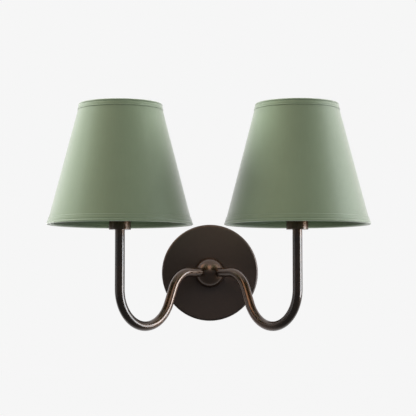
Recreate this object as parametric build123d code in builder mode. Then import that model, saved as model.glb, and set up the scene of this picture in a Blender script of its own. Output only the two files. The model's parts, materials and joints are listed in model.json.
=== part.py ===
# Double arm wall sconce with two fabric shades.
#
# Frame: origin at the centre of the strap's back, on the wall. The wall is the plane Y = 0 and the
# light stands out from it towards -Y. +X is to the viewer's right and +Z is up. Millimetres.
# "Out" below is the distance from the wall, so a point that is 22 out lies at Y = -22.
import os
from math import asin, cos, degrees, hypot, pi, radians, sin, sqrt, tan

from build123d import *

os.makedirs("parts", exist_ok=True)

SIDES = {"left": -1, "right": 1}

# Clearances
turn_gap = 0.1  # between faces that turn on each other
thread_gap = 0.06  # radial, between threads that turn
slip_gap = 0.3  # radial, round what is only slipped on
drill_gap = 0.2  # radial, round what passes through a drilled hole

# Round plate on the wall
plate_r = 63.5
plate_depth = 22.0
plate_wall = 1.2
plate_edge_r = 2.5

# Strap behind the plate
strap_width = 20.0
strap_t = 2.0
strap_bend_r = 2.0
strap_ear = 14.0
strap_centre_r = 6.0
box_slot_near = 69.85 / 2  # a small wall box's screw, from the centre
box_slot_far = 88.9 / 2  # a large wall box's screw, from the centre
box_screw_r = 2.3

# Screws
side_screw_r = 2.0
side_screw_length = 8.0
side_screw_out = 9.0
side_screw_sunk = 0.2
hex_socket_flats = 2.0
hex_socket_depth = 2.2
ground_screw_r = 2.0
ground_screw_x = 26.0
ground_head_r = 4.0
ground_head_t = 2.2

# Ball hub
hub_r = 20.0
hub_standoff = 10.0
hub_thread_depth = 8.0
hub_port_depth = 7.5
hub_seat = 1.0  # width of the step that the stud and the arms stand on

# Arms
tube_r = 6.0
tube_wall = 1.5
thread_wall = 1.0  # what the inner thread leaves of the tube's wall
arm_angle = 50.0  # between the wall and each arm, seen from above
arm_run = 39.5  # level run, from the hub's centre
crest_bend_r = 34.5
drop_angle = 66.0
drop_run = 22.0
bottom_bend_r = 46.0
leg_top = 50.0  # height of the arm's upper end above the hub

# Hollow threaded stud and its nut. The stud is cut from the rod that fits the arms' inner thread.
rod_wall = 1.5
rod_spare = 3.0
nut_wall = 2.0
nut_chamfer = 8.0  # degrees
hub_nut_t = 4.0
washer_width = 3.5
washer_t = 0.8
washer_teeth = 12
washer_tooth = 1.2

# Lamp holder, from the arm's end up
tube_thread = 8.0
cup_r = 13.5
cup_height = 22.0
cup_wall = 1.0
cup_floor = 1.5
cup_edge_r = 0.8
cup_nut_t = 3.0
holder_thread = 6.0
holder_lid = 1.5
shoulder_lip = 1.0  # how far the shoulder stands out over the cup
shoulder_t = 2.0
skirt_step = 0.5  # how much smaller the skirt is than the cup
skirt_height = 16.0
core_foot = 2.0
core_foot_wall = 1.5
core_wall = 2.85
core_t = 3.0
core_height = 21.0
core_rim = 2.0
shell_r = 6.05
shell_wall = 0.4
shell_height = 20.0
contact_width = 4.0
contact_t = 0.5
contact_lift = 3.0
contact_margin = 1.5

# Ring nut that clamps the shade
ring_nut_wall = 4.0
ring_nut_height = 7.0
ring_nut_flutes = 18
ring_nut_flute_r = 1.0

# Shade: a cone of fabric on a stiff lining, between two wire hoops
shade_top_r = 50.4
shade_bottom_r = 88.2
shade_slant = 150.7
shade_drop = 5.7  # the trimmed lower edge is this much above the cup's floor
cover_t = 0.6
lining_t = 0.4
glue_line = 0.03  # between the lining and each hoop
hoop_r = 1.4
trim_t = 0.9
trim_edge_r = 0.4
trim_fold_r = 1.4
top_band = 7.0
bottom_band = 8.5
band_inside = 5.0

# Fitter: a washer and three spokes
fitter_width = 6.0
fitter_t = 1.3
spoke_r = 1.25
spoke_count = 3
spoke_level = 5.0
spoke_bend_r = 4.0
spoke_weld = 0.4

# Leads and connectors
wire_r = 1.0
wire_gap = 0.25  # from a wire to the middle of the tube
hub_wire_bend = 12.0
connector_bend = 6.0
connector_out = 6.0
connector_start = 20.0
connector_length = 18.0
connector_mouth_r = 5.0
connector_tip_r = 3.5
connector_slack = 0.45
connector_flutes = 6
wire_in_connector = 9.0
ground_wire_r = 0.8
ground_wire_bend = 4.0
terminal_width = 3.0
terminal_t = 0.8
terminal_tongue = 4.0

# Lamp
cap_length = 17.0
cap_taper = 3.0
foot_r = 2.4
foot_t = 1.2
glass_wall = 0.8
glass_neck_step = 0.4
glass_r = 17.5
glass_length = 80.0
glass_belly = 27.0  # height of the widest part above the cap
glass_tip_r = 4.0

# Sizes that follow from the ones above
rod_r = tube_r - thread_wall
rod_bore_r = rod_r - rod_wall
tube_bore_r = tube_r - tube_wall
hub_wire_r = rod_r - hub_seat
nut_flats = 2 * (rod_r + nut_wall)
washer_r = rod_r + washer_width
terminal_r = rod_r + terminal_width

wire_pitch = wire_r + wire_gap
connector_bore_r = wire_pitch + wire_r + connector_slack

cup_inner_r = cup_r - cup_wall
shoulder_r = cup_r + shoulder_lip
skirt_r = cup_r - skirt_step
ring_nut_r = skirt_r + ring_nut_wall
fitter_r = skirt_r + fitter_width
core_r = shell_r + shell_wall + core_wall
holder_bore_r = core_r + drill_gap
cap_r = shell_r - thread_gap
glass_neck_r = cap_r - glass_neck_step

# Places that follow from the sizes above
strap_ear_x = sqrt((plate_r - plate_wall - slip_gap) ** 2 - (strap_width / 2) ** 2)
box_slot_x = (box_slot_near + box_slot_far) / 2
box_slot_length = box_slot_far - box_slot_near + 2 * box_screw_r
stud_inner = plate_depth - plate_wall - washer_t - terminal_t - hub_nut_t - rod_spare
terminal_out = plate_depth - plate_wall - washer_t - terminal_t
hub_out = plate_depth + hub_standoff
port_start = hub_r - hub_port_depth

bowl_angle = 90 + drop_angle
arm_reach = (
    arm_run
    + crest_bend_r * sin(radians(drop_angle))
    + drop_run * cos(radians(drop_angle))
    + bottom_bend_r * (1 + sin(radians(drop_angle)))
)
shade_x = arm_reach * cos(radians(arm_angle))
shade_y = -hub_out - arm_reach * sin(radians(arm_angle))

cup_top = leg_top + cup_height
nut_base = leg_top + cup_floor
holder_base = nut_base + cup_nut_t
rod_top = holder_base + holder_thread
holder_floor = rod_top + holder_lid
shoulder_top = cup_top + shoulder_t
skirt_top = shoulder_top + skirt_height
core_base = holder_floor + core_foot
core_top = core_base + core_height
shell_base = core_base + core_t
contact_top = shell_base + contact_lift
fitter_base = shoulder_top + turn_gap
ring_nut_base = fitter_base + fitter_t + turn_gap

cone_rise = sqrt(shade_slant**2 - (shade_bottom_r - shade_top_r) ** 2)
cone_slope = (shade_bottom_r - shade_top_r) / cone_rise
cone_base = leg_top + shade_drop + trim_t
cone_top = cone_base + cone_rise
across = hypot(1, cone_slope)  # level width of a wall that is 1 thick

bulb_base = contact_top + turn_gap
glass_base = bulb_base + foot_t + cap_length


def save(piece, label):
    """Names a finished piece and writes it."""
    piece.part.label = label
    export_step(piece.part, f"parts/{label}.step")


def out_plane(out):
    """The plane parallel to the wall, this far out, facing the room."""
    return Plane.XZ.offset(out)


def level_plane(side, height):
    """The level plane at a height, centred on one shade's axis."""
    return Plane(origin=(side * shade_x, shade_y, height))


def shade_section(side):
    """The upright plane through one shade's axis, for sections that are turned about it."""
    return Plane(origin=(side * shade_x, shade_y, 0), x_dir=(1, 0, 0), z_dir=(0, -1, 0))


def shade_axis(side):
    return Axis((side * shade_x, shade_y, 0), (0, 0, 1))


def arm_plane(side):
    """The upright plane of one arm: its x runs outward from the hub's centre, its y is up."""
    outward = Vector(side * cos(radians(arm_angle)), -sin(radians(arm_angle)), 0)
    return Plane(origin=(0, -hub_out, 0), x_dir=outward, z_dir=outward.cross(Vector(0, 0, 1)))


def box_between(x0, x1, y0, y1):
    """A rectangle of the current sketch from its limits."""
    with Locations(((x0 + x1) / 2, (y0 + y1) / 2)):
        Rectangle(x1 - x0, y1 - y0)


def cone_r(height):
    """The fabric's outer radius at a height."""
    return shade_bottom_r - cone_slope * (height - cone_base)


def cone_wall(depth, thickness):
    """Corners of the section of a wall of the cone, from this depth under the fabric's face."""
    outer = depth * across
    inner = (depth + thickness) * across
    return [
        (cone_r(cone_base) - outer, cone_base),
        (cone_r(cone_top) - outer, cone_top),
        (cone_r(cone_top) - inner, cone_top),
        (cone_r(cone_base) - inner, cone_base),
    ]


# Wall side


def make_strap():
    """A flat strap with an ear bent towards the room at each end."""
    with BuildPart() as strap:
        with BuildSketch(Plane.XY.offset(-strap_width / 2)) as section:
            box_between(-strap_ear_x, strap_ear_x, -strap_ear, 0)
            inner_x = strap_ear_x - strap_t
            with Locations((0, -(strap_ear + strap_t) / 2)):
                Rectangle(2 * inner_x, strap_ear - strap_t, mode=Mode.SUBTRACT)
            wall_corners = section.vertices().group_by(Axis.Y)[-1]
            fillet(wall_corners, strap_bend_r + strap_t)
            inner_corners = section.vertices().filter_by(
                lambda v: abs(abs(v.X) - inner_x) < 1e-6 and abs(v.Y + strap_t) < 1e-6
            )
            fillet(inner_corners, strap_bend_r)
        extrude(amount=strap_width)
        with BuildSketch(out_plane(0)):
            Circle(strap_centre_r)
            with Locations((-box_slot_x, 0), (box_slot_x, 0)):
                SlotOverall(box_slot_length, 2 * box_screw_r)
            with Locations((ground_screw_x, 0)):
                Circle(ground_screw_r)
        extrude(amount=strap_t, mode=Mode.SUBTRACT)
        with BuildSketch(Plane.YZ.offset(-plate_r)):
            with Locations((-side_screw_out, 0)):
                Circle(side_screw_r)
        extrude(amount=2 * plate_r, mode=Mode.SUBTRACT)
    save(strap, "mounting_strap")


def make_side_screws():
    """Two grub screws with hexagon sockets, flush in the plate's rim."""
    with BuildPart() as screws:
        for side in SIDES.values():
            face = Plane(
                origin=(side * (plate_r - side_screw_sunk), -side_screw_out, 0), z_dir=(-side, 0, 0)
            )
            with BuildSketch(face):
                Circle(side_screw_r)
            extrude(amount=side_screw_length)
            with BuildSketch(face):
                RegularPolygon(hex_socket_flats / 2, 6, major_radius=False)
            extrude(amount=hex_socket_depth, mode=Mode.SUBTRACT)
    save(screws, "side_screws")


def make_ground_screw():
    """A pan head screw with a slot, standing off the strap by the ground wire under its head."""
    head_out = strap_t + 2 * ground_wire_r
    with BuildPart() as screw:
        with BuildSketch(out_plane(0)):
            with Locations((ground_screw_x, 0)):
                Circle(ground_screw_r)
        extrude(amount=head_out)
        with BuildSketch(out_plane(head_out)):
            with Locations((ground_screw_x, 0)):
                Circle(ground_head_r)
        extrude(amount=ground_head_t)
        rim = screw.edges().filter_by(GeomType.CIRCLE).sort_by(Axis.Y)[0]
        fillet(rim, ground_head_t / 2)
        with BuildSketch(out_plane(head_out + ground_head_t)):
            with Locations((ground_screw_x, 0)):
                Rectangle(2 * ground_head_r, ground_head_t / 2)
        extrude(amount=-ground_head_t / 2, mode=Mode.SUBTRACT)
    save(screw, "ground_screw")


def make_plate():
    """A pressed cup with a rounded front edge, open at the wall."""
    with BuildPart() as plate:
        with BuildSketch(out_plane(0)):
            Circle(plate_r)
        extrude(amount=plate_depth)
        fillet(plate.edges().sort_by(Axis.Y)[0], plate_edge_r)
        offset(amount=-plate_wall, openings=plate.faces().sort_by(Axis.Y)[-1])
        with BuildSketch(out_plane(plate_depth)):
            Circle(rod_r + drill_gap)
        extrude(amount=-plate_depth, mode=Mode.SUBTRACT)
        with BuildSketch(Plane.YZ.offset(-plate_r)):
            with Locations((-side_screw_out, 0)):
                Circle(side_screw_r + drill_gap)
        extrude(amount=2 * plate_r, mode=Mode.SUBTRACT)
    save(plate, "back_plate")


# Middle


def make_hub():
    """A ball cut flat where it sits on the plate, bored for the stud, the arms and the leads."""
    with BuildPart() as hub:
        with Locations((0, -hub_out, 0)):
            Sphere(hub_r)
        split(bisect_by=out_plane(plate_depth), keep=Keep.TOP)
        with BuildSketch(out_plane(plate_depth)):
            Circle(rod_r)
        extrude(amount=hub_thread_depth, mode=Mode.SUBTRACT)
        with BuildSketch(out_plane(plate_depth)):
            Circle(hub_wire_r)
        extrude(amount=hub_standoff + hub_wire_r, mode=Mode.SUBTRACT)
        for side in SIDES.values():
            port = Plane(origin=(0, -hub_out, 0), z_dir=arm_plane(side).x_dir)
            with BuildSketch(port):
                Circle(hub_wire_r)
            extrude(amount=port_start, mode=Mode.SUBTRACT)
            with BuildSketch(port.offset(port_start)):
                Circle(tube_r)
            extrude(amount=hub_r, mode=Mode.SUBTRACT)
    save(hub, "hub")


def make_stud():
    with BuildPart() as stud:
        with BuildSketch(out_plane(stud_inner)):
            Circle(rod_r)
            Circle(rod_bore_r, mode=Mode.SUBTRACT)
        extrude(amount=plate_depth + hub_thread_depth - stud_inner)
    save(stud, "hub_stud")


def make_washer():
    """A lock washer with teeth round its edge."""
    with BuildPart() as washer:
        with BuildSketch(out_plane(plate_depth - plate_wall - washer_t)):
            Circle(washer_r)
            Circle(rod_r + drill_gap, mode=Mode.SUBTRACT)
            with PolarLocations(washer_r, washer_teeth):
                Rectangle(2 * washer_tooth, washer_tooth, mode=Mode.SUBTRACT)
        extrude(amount=washer_t)
    save(washer, "hub_washer")


def hex_nut(face, thickness):
    """A hexagon nut on a plane, with the corners of its far face rounded off by a cone."""
    with BuildPart() as nut:
        with BuildSketch(face):
            RegularPolygon(nut_flats / 2, 6, major_radius=False)
        extrude(amount=thickness)
        corner_r = nut_flats / 2 / cos(radians(30))
        with BuildSketch(face):
            Circle(corner_r)
        extrude(amount=thickness, taper=nut_chamfer, mode=Mode.INTERSECT)
        with BuildSketch(face):
            Circle(rod_r)
        extrude(amount=thickness, mode=Mode.SUBTRACT)
    return nut


def make_ground_lead():
    """A ring terminal under the hub nut, and its bare wire to the strap's ground screw."""
    wire_z = ground_screw_r + ground_wire_r
    bend = ground_wire_bend
    terminal_mid = terminal_out + terminal_t / 2
    wire_end_out = strap_t + ground_wire_r
    turn_x = ground_screw_x - ground_head_r - 2 * bend - drill_gap
    tongue_width = 2 * wire_z
    with BuildPart() as lead:
        with BuildSketch(out_plane(terminal_out)):
            Circle(terminal_r)
            tongue_end = terminal_r + terminal_tongue
            box_between(0, tongue_end, -tongue_width / 2, tongue_width / 2 + ground_wire_r)
            Circle(rod_r + drill_gap, mode=Mode.SUBTRACT)
        extrude(amount=terminal_t)
        with BuildLine(Plane.XY.offset(wire_z)) as route:
            start = Line((washer_r + ground_wire_r, -terminal_mid), (turn_x, -terminal_mid))
            down = JernArc(start=start @ 1, tangent=start % 1, radius=bend, arc_size=90)
            back = Line(down @ 1, (turn_x + bend, -wire_end_out - bend))
            level = JernArc(start=back @ 1, tangent=back % 1, radius=bend, arc_size=-90)
            Line(level @ 1, (ground_screw_x + ground_screw_r, -wire_end_out))
        with BuildSketch(Plane(origin=route.wire() @ 0, z_dir=route.wire() % 0)):
            Circle(ground_wire_r)
        sweep()
    save(lead, "ground_lead")


def make_connectors():
    """Two twist-on connectors behind the plate, one above the strap and one below it."""
    with BuildPart() as connectors:
        for way in (1, -1):
            mouth = Plane(origin=(0, -connector_out, way * connector_start), z_dir=(0, 0, way))
            with BuildSketch(mouth) as low:
                Circle(connector_mouth_r)
            with BuildSketch(mouth.offset(connector_length)) as high:
                Circle(connector_tip_r)
            loft([low.sketch, high.sketch])
            with BuildSketch(mouth):
                Circle(connector_bore_r)
            extrude(amount=wire_in_connector, mode=Mode.SUBTRACT)
            with BuildSketch(mouth):
                with PolarLocations(connector_mouth_r, connector_flutes):
                    Circle(connector_mouth_r / connector_flutes)
            extrude(amount=connector_length, mode=Mode.SUBTRACT)
    save(connectors, "wire_connectors")


# Each arm and what runs in it


def make_arm(side, name):
    """A tube that leaves the hub level, drops, turns up in a wide bend and ends under the cup."""
    with BuildPart() as arm:
        with BuildLine(arm_plane(side)) as route:
            run = Line((port_start, 0), (arm_run, 0))
            crest = JernArc(start=run @ 1, tangent=run % 1, radius=crest_bend_r, arc_size=-drop_angle)
            drop = Line(crest @ 1, crest @ 1 + (crest % 1) * drop_run)
            bowl = JernArc(start=drop @ 1, tangent=drop % 1, radius=bottom_bend_r, arc_size=bowl_angle)
            Line(bowl @ 1, (arm_reach, leg_top))
        with BuildSketch(Plane(origin=route.wire() @ 0, z_dir=route.wire() % 0)):
            Circle(tube_r)
            Circle(tube_bore_r, mode=Mode.SUBTRACT)
        sweep()
        with BuildSketch(level_plane(side, leg_top)):
            Circle(rod_r)
        extrude(amount=-tube_thread, mode=Mode.SUBTRACT)
    save(arm, f"arm_{name}")


def make_lead(side, name, way, label):
    """One insulated wire, from its connector through stud, hub and arm to the lamp holder.

    way is 1 for the wire above the arm's centreline and -1 for the one below it.
    """
    place = arm_plane(side)
    z = way * wire_pitch
    x = side * wire_pitch
    corner_s = wire_pitch / cos(radians(arm_angle))
    corner_out = hub_out + corner_s * sin(radians(arm_angle))
    tangent_length = hub_wire_bend * tan(radians(90 - arm_angle) / 2)
    turn_z = z + way * connector_bend
    with BuildPart() as lead:
        with BuildLine(place) as route:
            inside = Vector(x, -connector_out, way * (connector_start + wire_in_connector))
            turn = Vector(x, -connector_out, turn_z)
            level = Vector(x, -connector_out - connector_bend, z)
            into_hub = Vector(x, -corner_out + tangent_length, z)
            on_arm = place.from_local_coords((corner_s + tangent_length, z))
            first = Line(inside, turn)
            TangentArc(turn, level, tangent=first % 1)
            through = Line(level, into_hub)
            TangentArc(into_hub, on_arm, tangent=through % 1)
            run = Line(on_arm, (arm_run, z))
            crest = JernArc(
                start=run @ 1, tangent=run % 1, radius=crest_bend_r + z, arc_size=-drop_angle
            )
            drop = Line(crest @ 1, crest @ 1 + (crest % 1) * drop_run)
            bowl = JernArc(
                start=drop @ 1, tangent=drop % 1, radius=bottom_bend_r - z, arc_size=bowl_angle
            )
            Line(bowl @ 1, (arm_reach - z, core_base))
        with BuildSketch(Plane(origin=route.wire() @ 0, z_dir=route.wire() % 0)):
            Circle(wire_r)
        sweep()
    length = route.wire().length
    share = lead.part.volume / (length * pi * wire_r**2)
    print(f"{label}_{name}: {length:.1f} mm long, volume {share:.4f} of section times length")
    save(lead, f"{label}_{name}")


# Each lamp holder


def make_nipple(side, name):
    with BuildPart() as nipple:
        with BuildSketch(level_plane(side, leg_top - tube_thread)):
            Circle(rod_r)
            Circle(rod_bore_r, mode=Mode.SUBTRACT)
        extrude(amount=rod_top - leg_top + tube_thread)
    save(nipple, f"holder_nipple_{name}")


def make_cup(side, name):
    """A drawn cup, open at the top, with a hole for the nipple in its floor."""
    with BuildPart() as cup:
        with BuildSketch(level_plane(side, leg_top)):
            Circle(cup_r)
        extrude(amount=cup_height)
        fillet(cup.edges().group_by(Axis.Z)[0], cup_edge_r)
        with BuildSketch(level_plane(side, leg_top + cup_floor)):
            Circle(cup_inner_r)
        extrude(amount=cup_height, mode=Mode.SUBTRACT)
        with BuildSketch(level_plane(side, leg_top)):
            Circle(rod_r + drill_gap)
        extrude(amount=cup_floor, mode=Mode.SUBTRACT)
    save(cup, f"socket_cup_{name}")


def make_holder_body(side, name):
    """Moulded body: a threaded base, a shoulder on the cup's rim and a skirt for the ring nut."""
    body_r = cup_inner_r - slip_gap
    with BuildPart() as body:
        with BuildSketch(shade_section(side)):
            box_between(rod_r, body_r, holder_base, rod_top)
            box_between(rod_bore_r, body_r, rod_top, holder_floor)
            box_between(holder_bore_r, body_r, holder_floor, cup_top)
            box_between(holder_bore_r, shoulder_r, cup_top, shoulder_top)
            box_between(holder_bore_r, skirt_r, shoulder_top, skirt_top)
        revolve(axis=shade_axis(side))
    save(body, f"holder_body_{name}")


def make_core(side, name):
    """The insulating core that holds the screw shell, on a foot that leaves room for the leads."""
    with BuildPart() as core:
        with BuildSketch(shade_section(side)):
            box_between(core_r - core_foot_wall, core_r, holder_floor, core_base)
            box_between(0, core_r, core_base, shell_base)
            box_between(shell_r + shell_wall, core_r, shell_base, core_top)
            box_between(core_r, holder_bore_r, core_top - core_rim, core_top)
        revolve(axis=shade_axis(side))
    save(core, f"holder_core_{name}")


def make_shell(side, name):
    with BuildPart() as shell:
        with BuildSketch(level_plane(side, shell_base)):
            Circle(shell_r + shell_wall)
            Circle(shell_r, mode=Mode.SUBTRACT)
        extrude(amount=shell_height - core_t)
    save(shell, f"screw_shell_{name}")


def make_contact(side, name):
    """A brass strip riveted to the core's floor, bent back over itself to press on the lamp."""
    half = shell_r - contact_margin
    with BuildPart() as contact:
        with BuildSketch(shade_section(side).offset(-contact_width / 2)):
            with BuildLine():
                FilletPolyline(
                    (half, shell_base + contact_t / 2),
                    (-half, shell_base + contact_t / 2),
                    (0, contact_top - contact_t / 2),
                    (contact_width / 2, contact_top - contact_t / 2),
                    radius=contact_t,
                )
            trace(line_width=contact_t)
        extrude(amount=contact_width)
    save(contact, f"centre_contact_{name}")


def make_ring_nut(side, name):
    """A fluted ring nut on the holder's skirt."""
    with BuildPart() as nut:
        with BuildSketch(level_plane(side, ring_nut_base)):
            Circle(ring_nut_r)
        extrude(amount=ring_nut_height)
        chamfer(nut.edges().filter_by(GeomType.CIRCLE), ring_nut_flute_r / 2)
        with BuildSketch(level_plane(side, ring_nut_base)):
            Circle(skirt_r + thread_gap)
            with PolarLocations(ring_nut_r + ring_nut_flute_r / 2, ring_nut_flutes):
                Circle(ring_nut_flute_r)
        extrude(amount=ring_nut_height, mode=Mode.SUBTRACT)
    save(nut, f"shade_nut_{name}")


# Each shade


def make_cover(side, name):
    with BuildPart() as cover:
        with BuildSketch(shade_section(side)):
            with BuildLine():
                Polyline(*cone_wall(0, cover_t), close=True)
            make_face()
        revolve(axis=shade_axis(side))
    save(cover, f"shade_cover_{name}")


def make_lining(side, name):
    with BuildPart() as lining:
        with BuildSketch(shade_section(side)):
            with BuildLine():
                Polyline(*cone_wall(cover_t, lining_t), close=True)
            make_face()
        revolve(axis=shade_axis(side))
    save(lining, f"shade_lining_{name}")


def hoop_centre(height):
    """The radius of a wire hoop that is glued to the lining at a height."""
    return cone_r(height) - (cover_t + lining_t + glue_line + hoop_r) * across


def make_hoop(side, name, label, height):
    with BuildPart() as hoop:
        with BuildSketch(shade_section(side)):
            with Locations((hoop_centre(height), height)):
                Circle(hoop_r)
        revolve(axis=shade_axis(side))
    save(hoop, f"{label}_{name}")


def spoke_lines(side):
    """The centrelines of the fitter's spokes: level by the washer, then down to the lower hoop."""
    hub_height = Vector(0, 0, fitter_base + fitter_t / 2)
    hoop_height = Vector(0, 0, cone_base + hoop_r)
    outer_end = hoop_centre(hoop_height.Z) - hoop_r + spoke_weld
    centre = Vector(side * shade_x, shade_y, 0)
    lines = []
    for turn in range(spoke_count):
        angle = radians(90 + turn * 360 / spoke_count)
        way = Vector(cos(angle), sin(angle), 0)
        with BuildLine() as spoke:
            FilletPolyline(
                centre + way * (fitter_r - spoke_r) + hub_height,
                centre + way * (fitter_r + spoke_level) + hub_height,
                centre + way * outer_end + hoop_height,
                radius=spoke_bend_r,
            )
        lines.append(spoke.wire())
    return lines


def make_trim(side, name, label, edge, way, band):
    """A band folded over the shade's edge and round the hoop inside it.

    edge is the height of the shade's edge, and way is 1 where the band goes up from it.
    """
    lip = edge - way * trim_t
    outside = edge + way * band
    inside = edge + way * band_inside
    inner_r = hoop_centre(edge + way * hoop_r) - hoop_r
    with BuildPart() as trim:
        with BuildSketch(shade_section(side)) as section:
            with BuildLine():
                Polyline(
                    (cone_r(lip) + trim_t, lip),
                    (cone_r(outside) + trim_t * across, outside),
                    (cone_r(outside), outside),
                    (cone_r(edge), edge),
                    (inner_r, edge),
                    (inner_r, inside),
                    (inner_r - trim_t, inside),
                    (inner_r - trim_t, lip),
                    close=True,
                )
            make_face()
            rounded = (
                ((cone_r(outside) + trim_t * across, outside), trim_edge_r),
                ((cone_r(lip) + trim_t, lip), trim_fold_r),
                ((inner_r, edge), hoop_r - turn_gap),
                ((inner_r - trim_t, lip), hoop_r + trim_t),
            )
            for corner, radius in rounded:
                fillet(section.vertices().sort_by_distance(corner)[0], radius)
        revolve(axis=shade_axis(side))
        for spoke in spoke_lines(side):
            with BuildSketch(Plane(origin=spoke @ 0, z_dir=spoke % 0)):
                Circle(spoke_r + drill_gap)
            sweep(path=spoke, mode=Mode.SUBTRACT)
    save(trim, f"{label}_{name}")


def make_fitter(side, name):
    """A washer for the lamp holder with wire spokes down to the lower hoop."""
    with BuildPart() as fitter:
        with BuildSketch(level_plane(side, fitter_base)):
            Circle(fitter_r)
            Circle(skirt_r + slip_gap, mode=Mode.SUBTRACT)
        extrude(amount=fitter_t)
        for spoke in spoke_lines(side):
            with BuildSketch(Plane(origin=spoke @ 0, z_dir=spoke % 0)):
                Circle(spoke_r)
            sweep(path=spoke)
    save(fitter, f"fitter_{name}")


# Each lamp


def make_bulb_cap(side, name):
    """The lamp's screw cap, drawn in at its lower end."""
    cap_base = bulb_base + foot_t
    with BuildPart() as cap:
        with BuildSketch(shade_section(side)):
            with BuildLine():
                Polyline(
                    (0, cap_base),
                    (foot_r, cap_base),
                    (cap_r, cap_base + cap_taper),
                    (cap_r, cap_base + cap_length),
                    (0, cap_base + cap_length),
                    close=True,
                )
            make_face()
        revolve(axis=shade_axis(side))
    save(cap, f"bulb_cap_{name}")


def make_bulb_foot(side, name):
    """The solder button under the cap."""
    with BuildPart() as foot:
        with BuildSketch(level_plane(side, bulb_base)):
            Circle(foot_r)
        extrude(amount=foot_t)
        fillet(foot.edges().group_by(Axis.Z)[0], foot_t / 2)
    save(foot, f"bulb_foot_{name}")


def make_bulb_glass(side, name):
    """A thin candle-shaped envelope that stands on the cap and is open into it."""
    belly = glass_base + glass_belly
    rise = glass_length - glass_belly - glass_tip_r
    side_r = (glass_r**2 + rise**2 - glass_tip_r**2) / (2 * (glass_r - glass_tip_r))
    turn = degrees(asin(rise / (side_r - glass_tip_r)))
    with BuildPart() as glass:
        with BuildSketch(shade_section(side)):
            for depth, mode in ((0, Mode.ADD), (glass_wall, Mode.SUBTRACT)):
                widest = (glass_r - depth, belly)
                neck = (glass_neck_r - depth, glass_base)
                with BuildLine():
                    Line((0, glass_base), neck)
                    TangentArc(widest, neck, tangent=(0, -1))
                    flank = JernArc(start=widest, tangent=(0, 1), radius=side_r - depth, arc_size=turn)
                    tip = JernArc(
                        start=flank @ 1, tangent=flank % 1, radius=glass_tip_r - depth, arc_size=90 - turn
                    )
                    Line(tip @ 1, (0, glass_base))
                make_face(mode=mode)
        revolve(axis=shade_axis(side))
    save(glass, f"bulb_glass_{name}")


make_strap()
make_side_screws()
make_ground_screw()
make_plate()
make_hub()
make_stud()
make_washer()
save(hex_nut(out_plane(terminal_out - hub_nut_t), hub_nut_t), "hub_nut")
make_ground_lead()
make_connectors()
for name, side in SIDES.items():
    make_arm(side, name)
    make_lead(side, name, 1, "line_lead")
    make_lead(side, name, -1, "neutral_lead")
    make_nipple(side, name)
    make_cup(side, name)
    save(hex_nut(level_plane(side, nut_base), cup_nut_t), f"cup_nut_{name}")
    make_holder_body(side, name)
    make_core(side, name)
    make_shell(side, name)
    make_contact(side, name)
    make_ring_nut(side, name)
    make_cover(side, name)
    make_lining(side, name)
    make_hoop(side, name, "top_wire", cone_top - hoop_r)
    make_hoop(side, name, "bottom_wire", cone_base + hoop_r)
    make_trim(side, name, "top_trim", cone_top, -1, top_band)
    make_trim(side, name, "bottom_trim", cone_base, 1, bottom_band)
    make_fitter(side, name)
    make_bulb_cap(side, name)
    make_bulb_foot(side, name)
    make_bulb_glass(side, name)
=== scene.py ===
# %% [markdown]
# # A double arm wall sconce
#
# The light has a round bronze plate, a ball with two bent tubes, and a fabric shade on each tube.
# Its metal and plastic pieces come ready made, as closed meshes at their real size. This lesson
# gives each of them a surface, makes the fabric and the threads as meshes, and lights the whole.

# %% Load the ready made pieces
import json
from math import cos, hypot, pi, radians, sin

import bmesh
import bpy
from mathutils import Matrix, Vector, noise


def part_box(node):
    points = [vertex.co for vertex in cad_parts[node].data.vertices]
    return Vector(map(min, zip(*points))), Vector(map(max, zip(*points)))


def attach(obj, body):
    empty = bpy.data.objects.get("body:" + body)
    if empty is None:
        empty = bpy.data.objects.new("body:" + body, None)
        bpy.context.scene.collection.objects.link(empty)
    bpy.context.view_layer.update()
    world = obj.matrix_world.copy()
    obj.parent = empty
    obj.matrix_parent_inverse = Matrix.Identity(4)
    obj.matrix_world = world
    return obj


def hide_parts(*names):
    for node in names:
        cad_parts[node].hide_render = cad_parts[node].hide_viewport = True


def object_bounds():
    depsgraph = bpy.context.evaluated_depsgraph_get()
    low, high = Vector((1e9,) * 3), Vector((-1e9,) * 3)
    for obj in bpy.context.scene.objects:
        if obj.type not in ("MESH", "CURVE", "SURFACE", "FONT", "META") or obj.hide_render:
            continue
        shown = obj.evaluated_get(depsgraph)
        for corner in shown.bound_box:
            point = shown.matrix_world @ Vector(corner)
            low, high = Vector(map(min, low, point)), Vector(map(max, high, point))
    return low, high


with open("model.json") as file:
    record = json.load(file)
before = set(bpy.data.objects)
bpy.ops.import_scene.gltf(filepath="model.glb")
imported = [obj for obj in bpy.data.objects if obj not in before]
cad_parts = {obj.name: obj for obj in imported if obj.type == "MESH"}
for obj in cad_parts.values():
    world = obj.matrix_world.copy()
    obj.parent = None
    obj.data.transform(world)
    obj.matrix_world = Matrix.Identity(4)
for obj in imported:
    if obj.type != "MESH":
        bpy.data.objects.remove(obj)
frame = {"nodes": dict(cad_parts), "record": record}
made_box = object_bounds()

MM = 0.001
SIDES = ("left", "right")
scene = bpy.context.scene

# %% [markdown]
# ## Camera
#
# The photograph was taken from a little below the shades with a long lens, nearly square on. A
# camera can be placed by eye, but then every comparison is blurred by a wrong angle. These numbers
# come from fitting the known shape to its edges in the photograph. The camera is placed first,
# because every later choice of light and colour is judged through it.

# %% Set up the camera
LENS_MM = 111.7
SENSOR_MM = 36
CAMERA_PLACE = (0.0194, -1.7297, -0.0269)
CAMERA_PITCH = 3.77
CAMERA_TURN = 0.734

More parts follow.
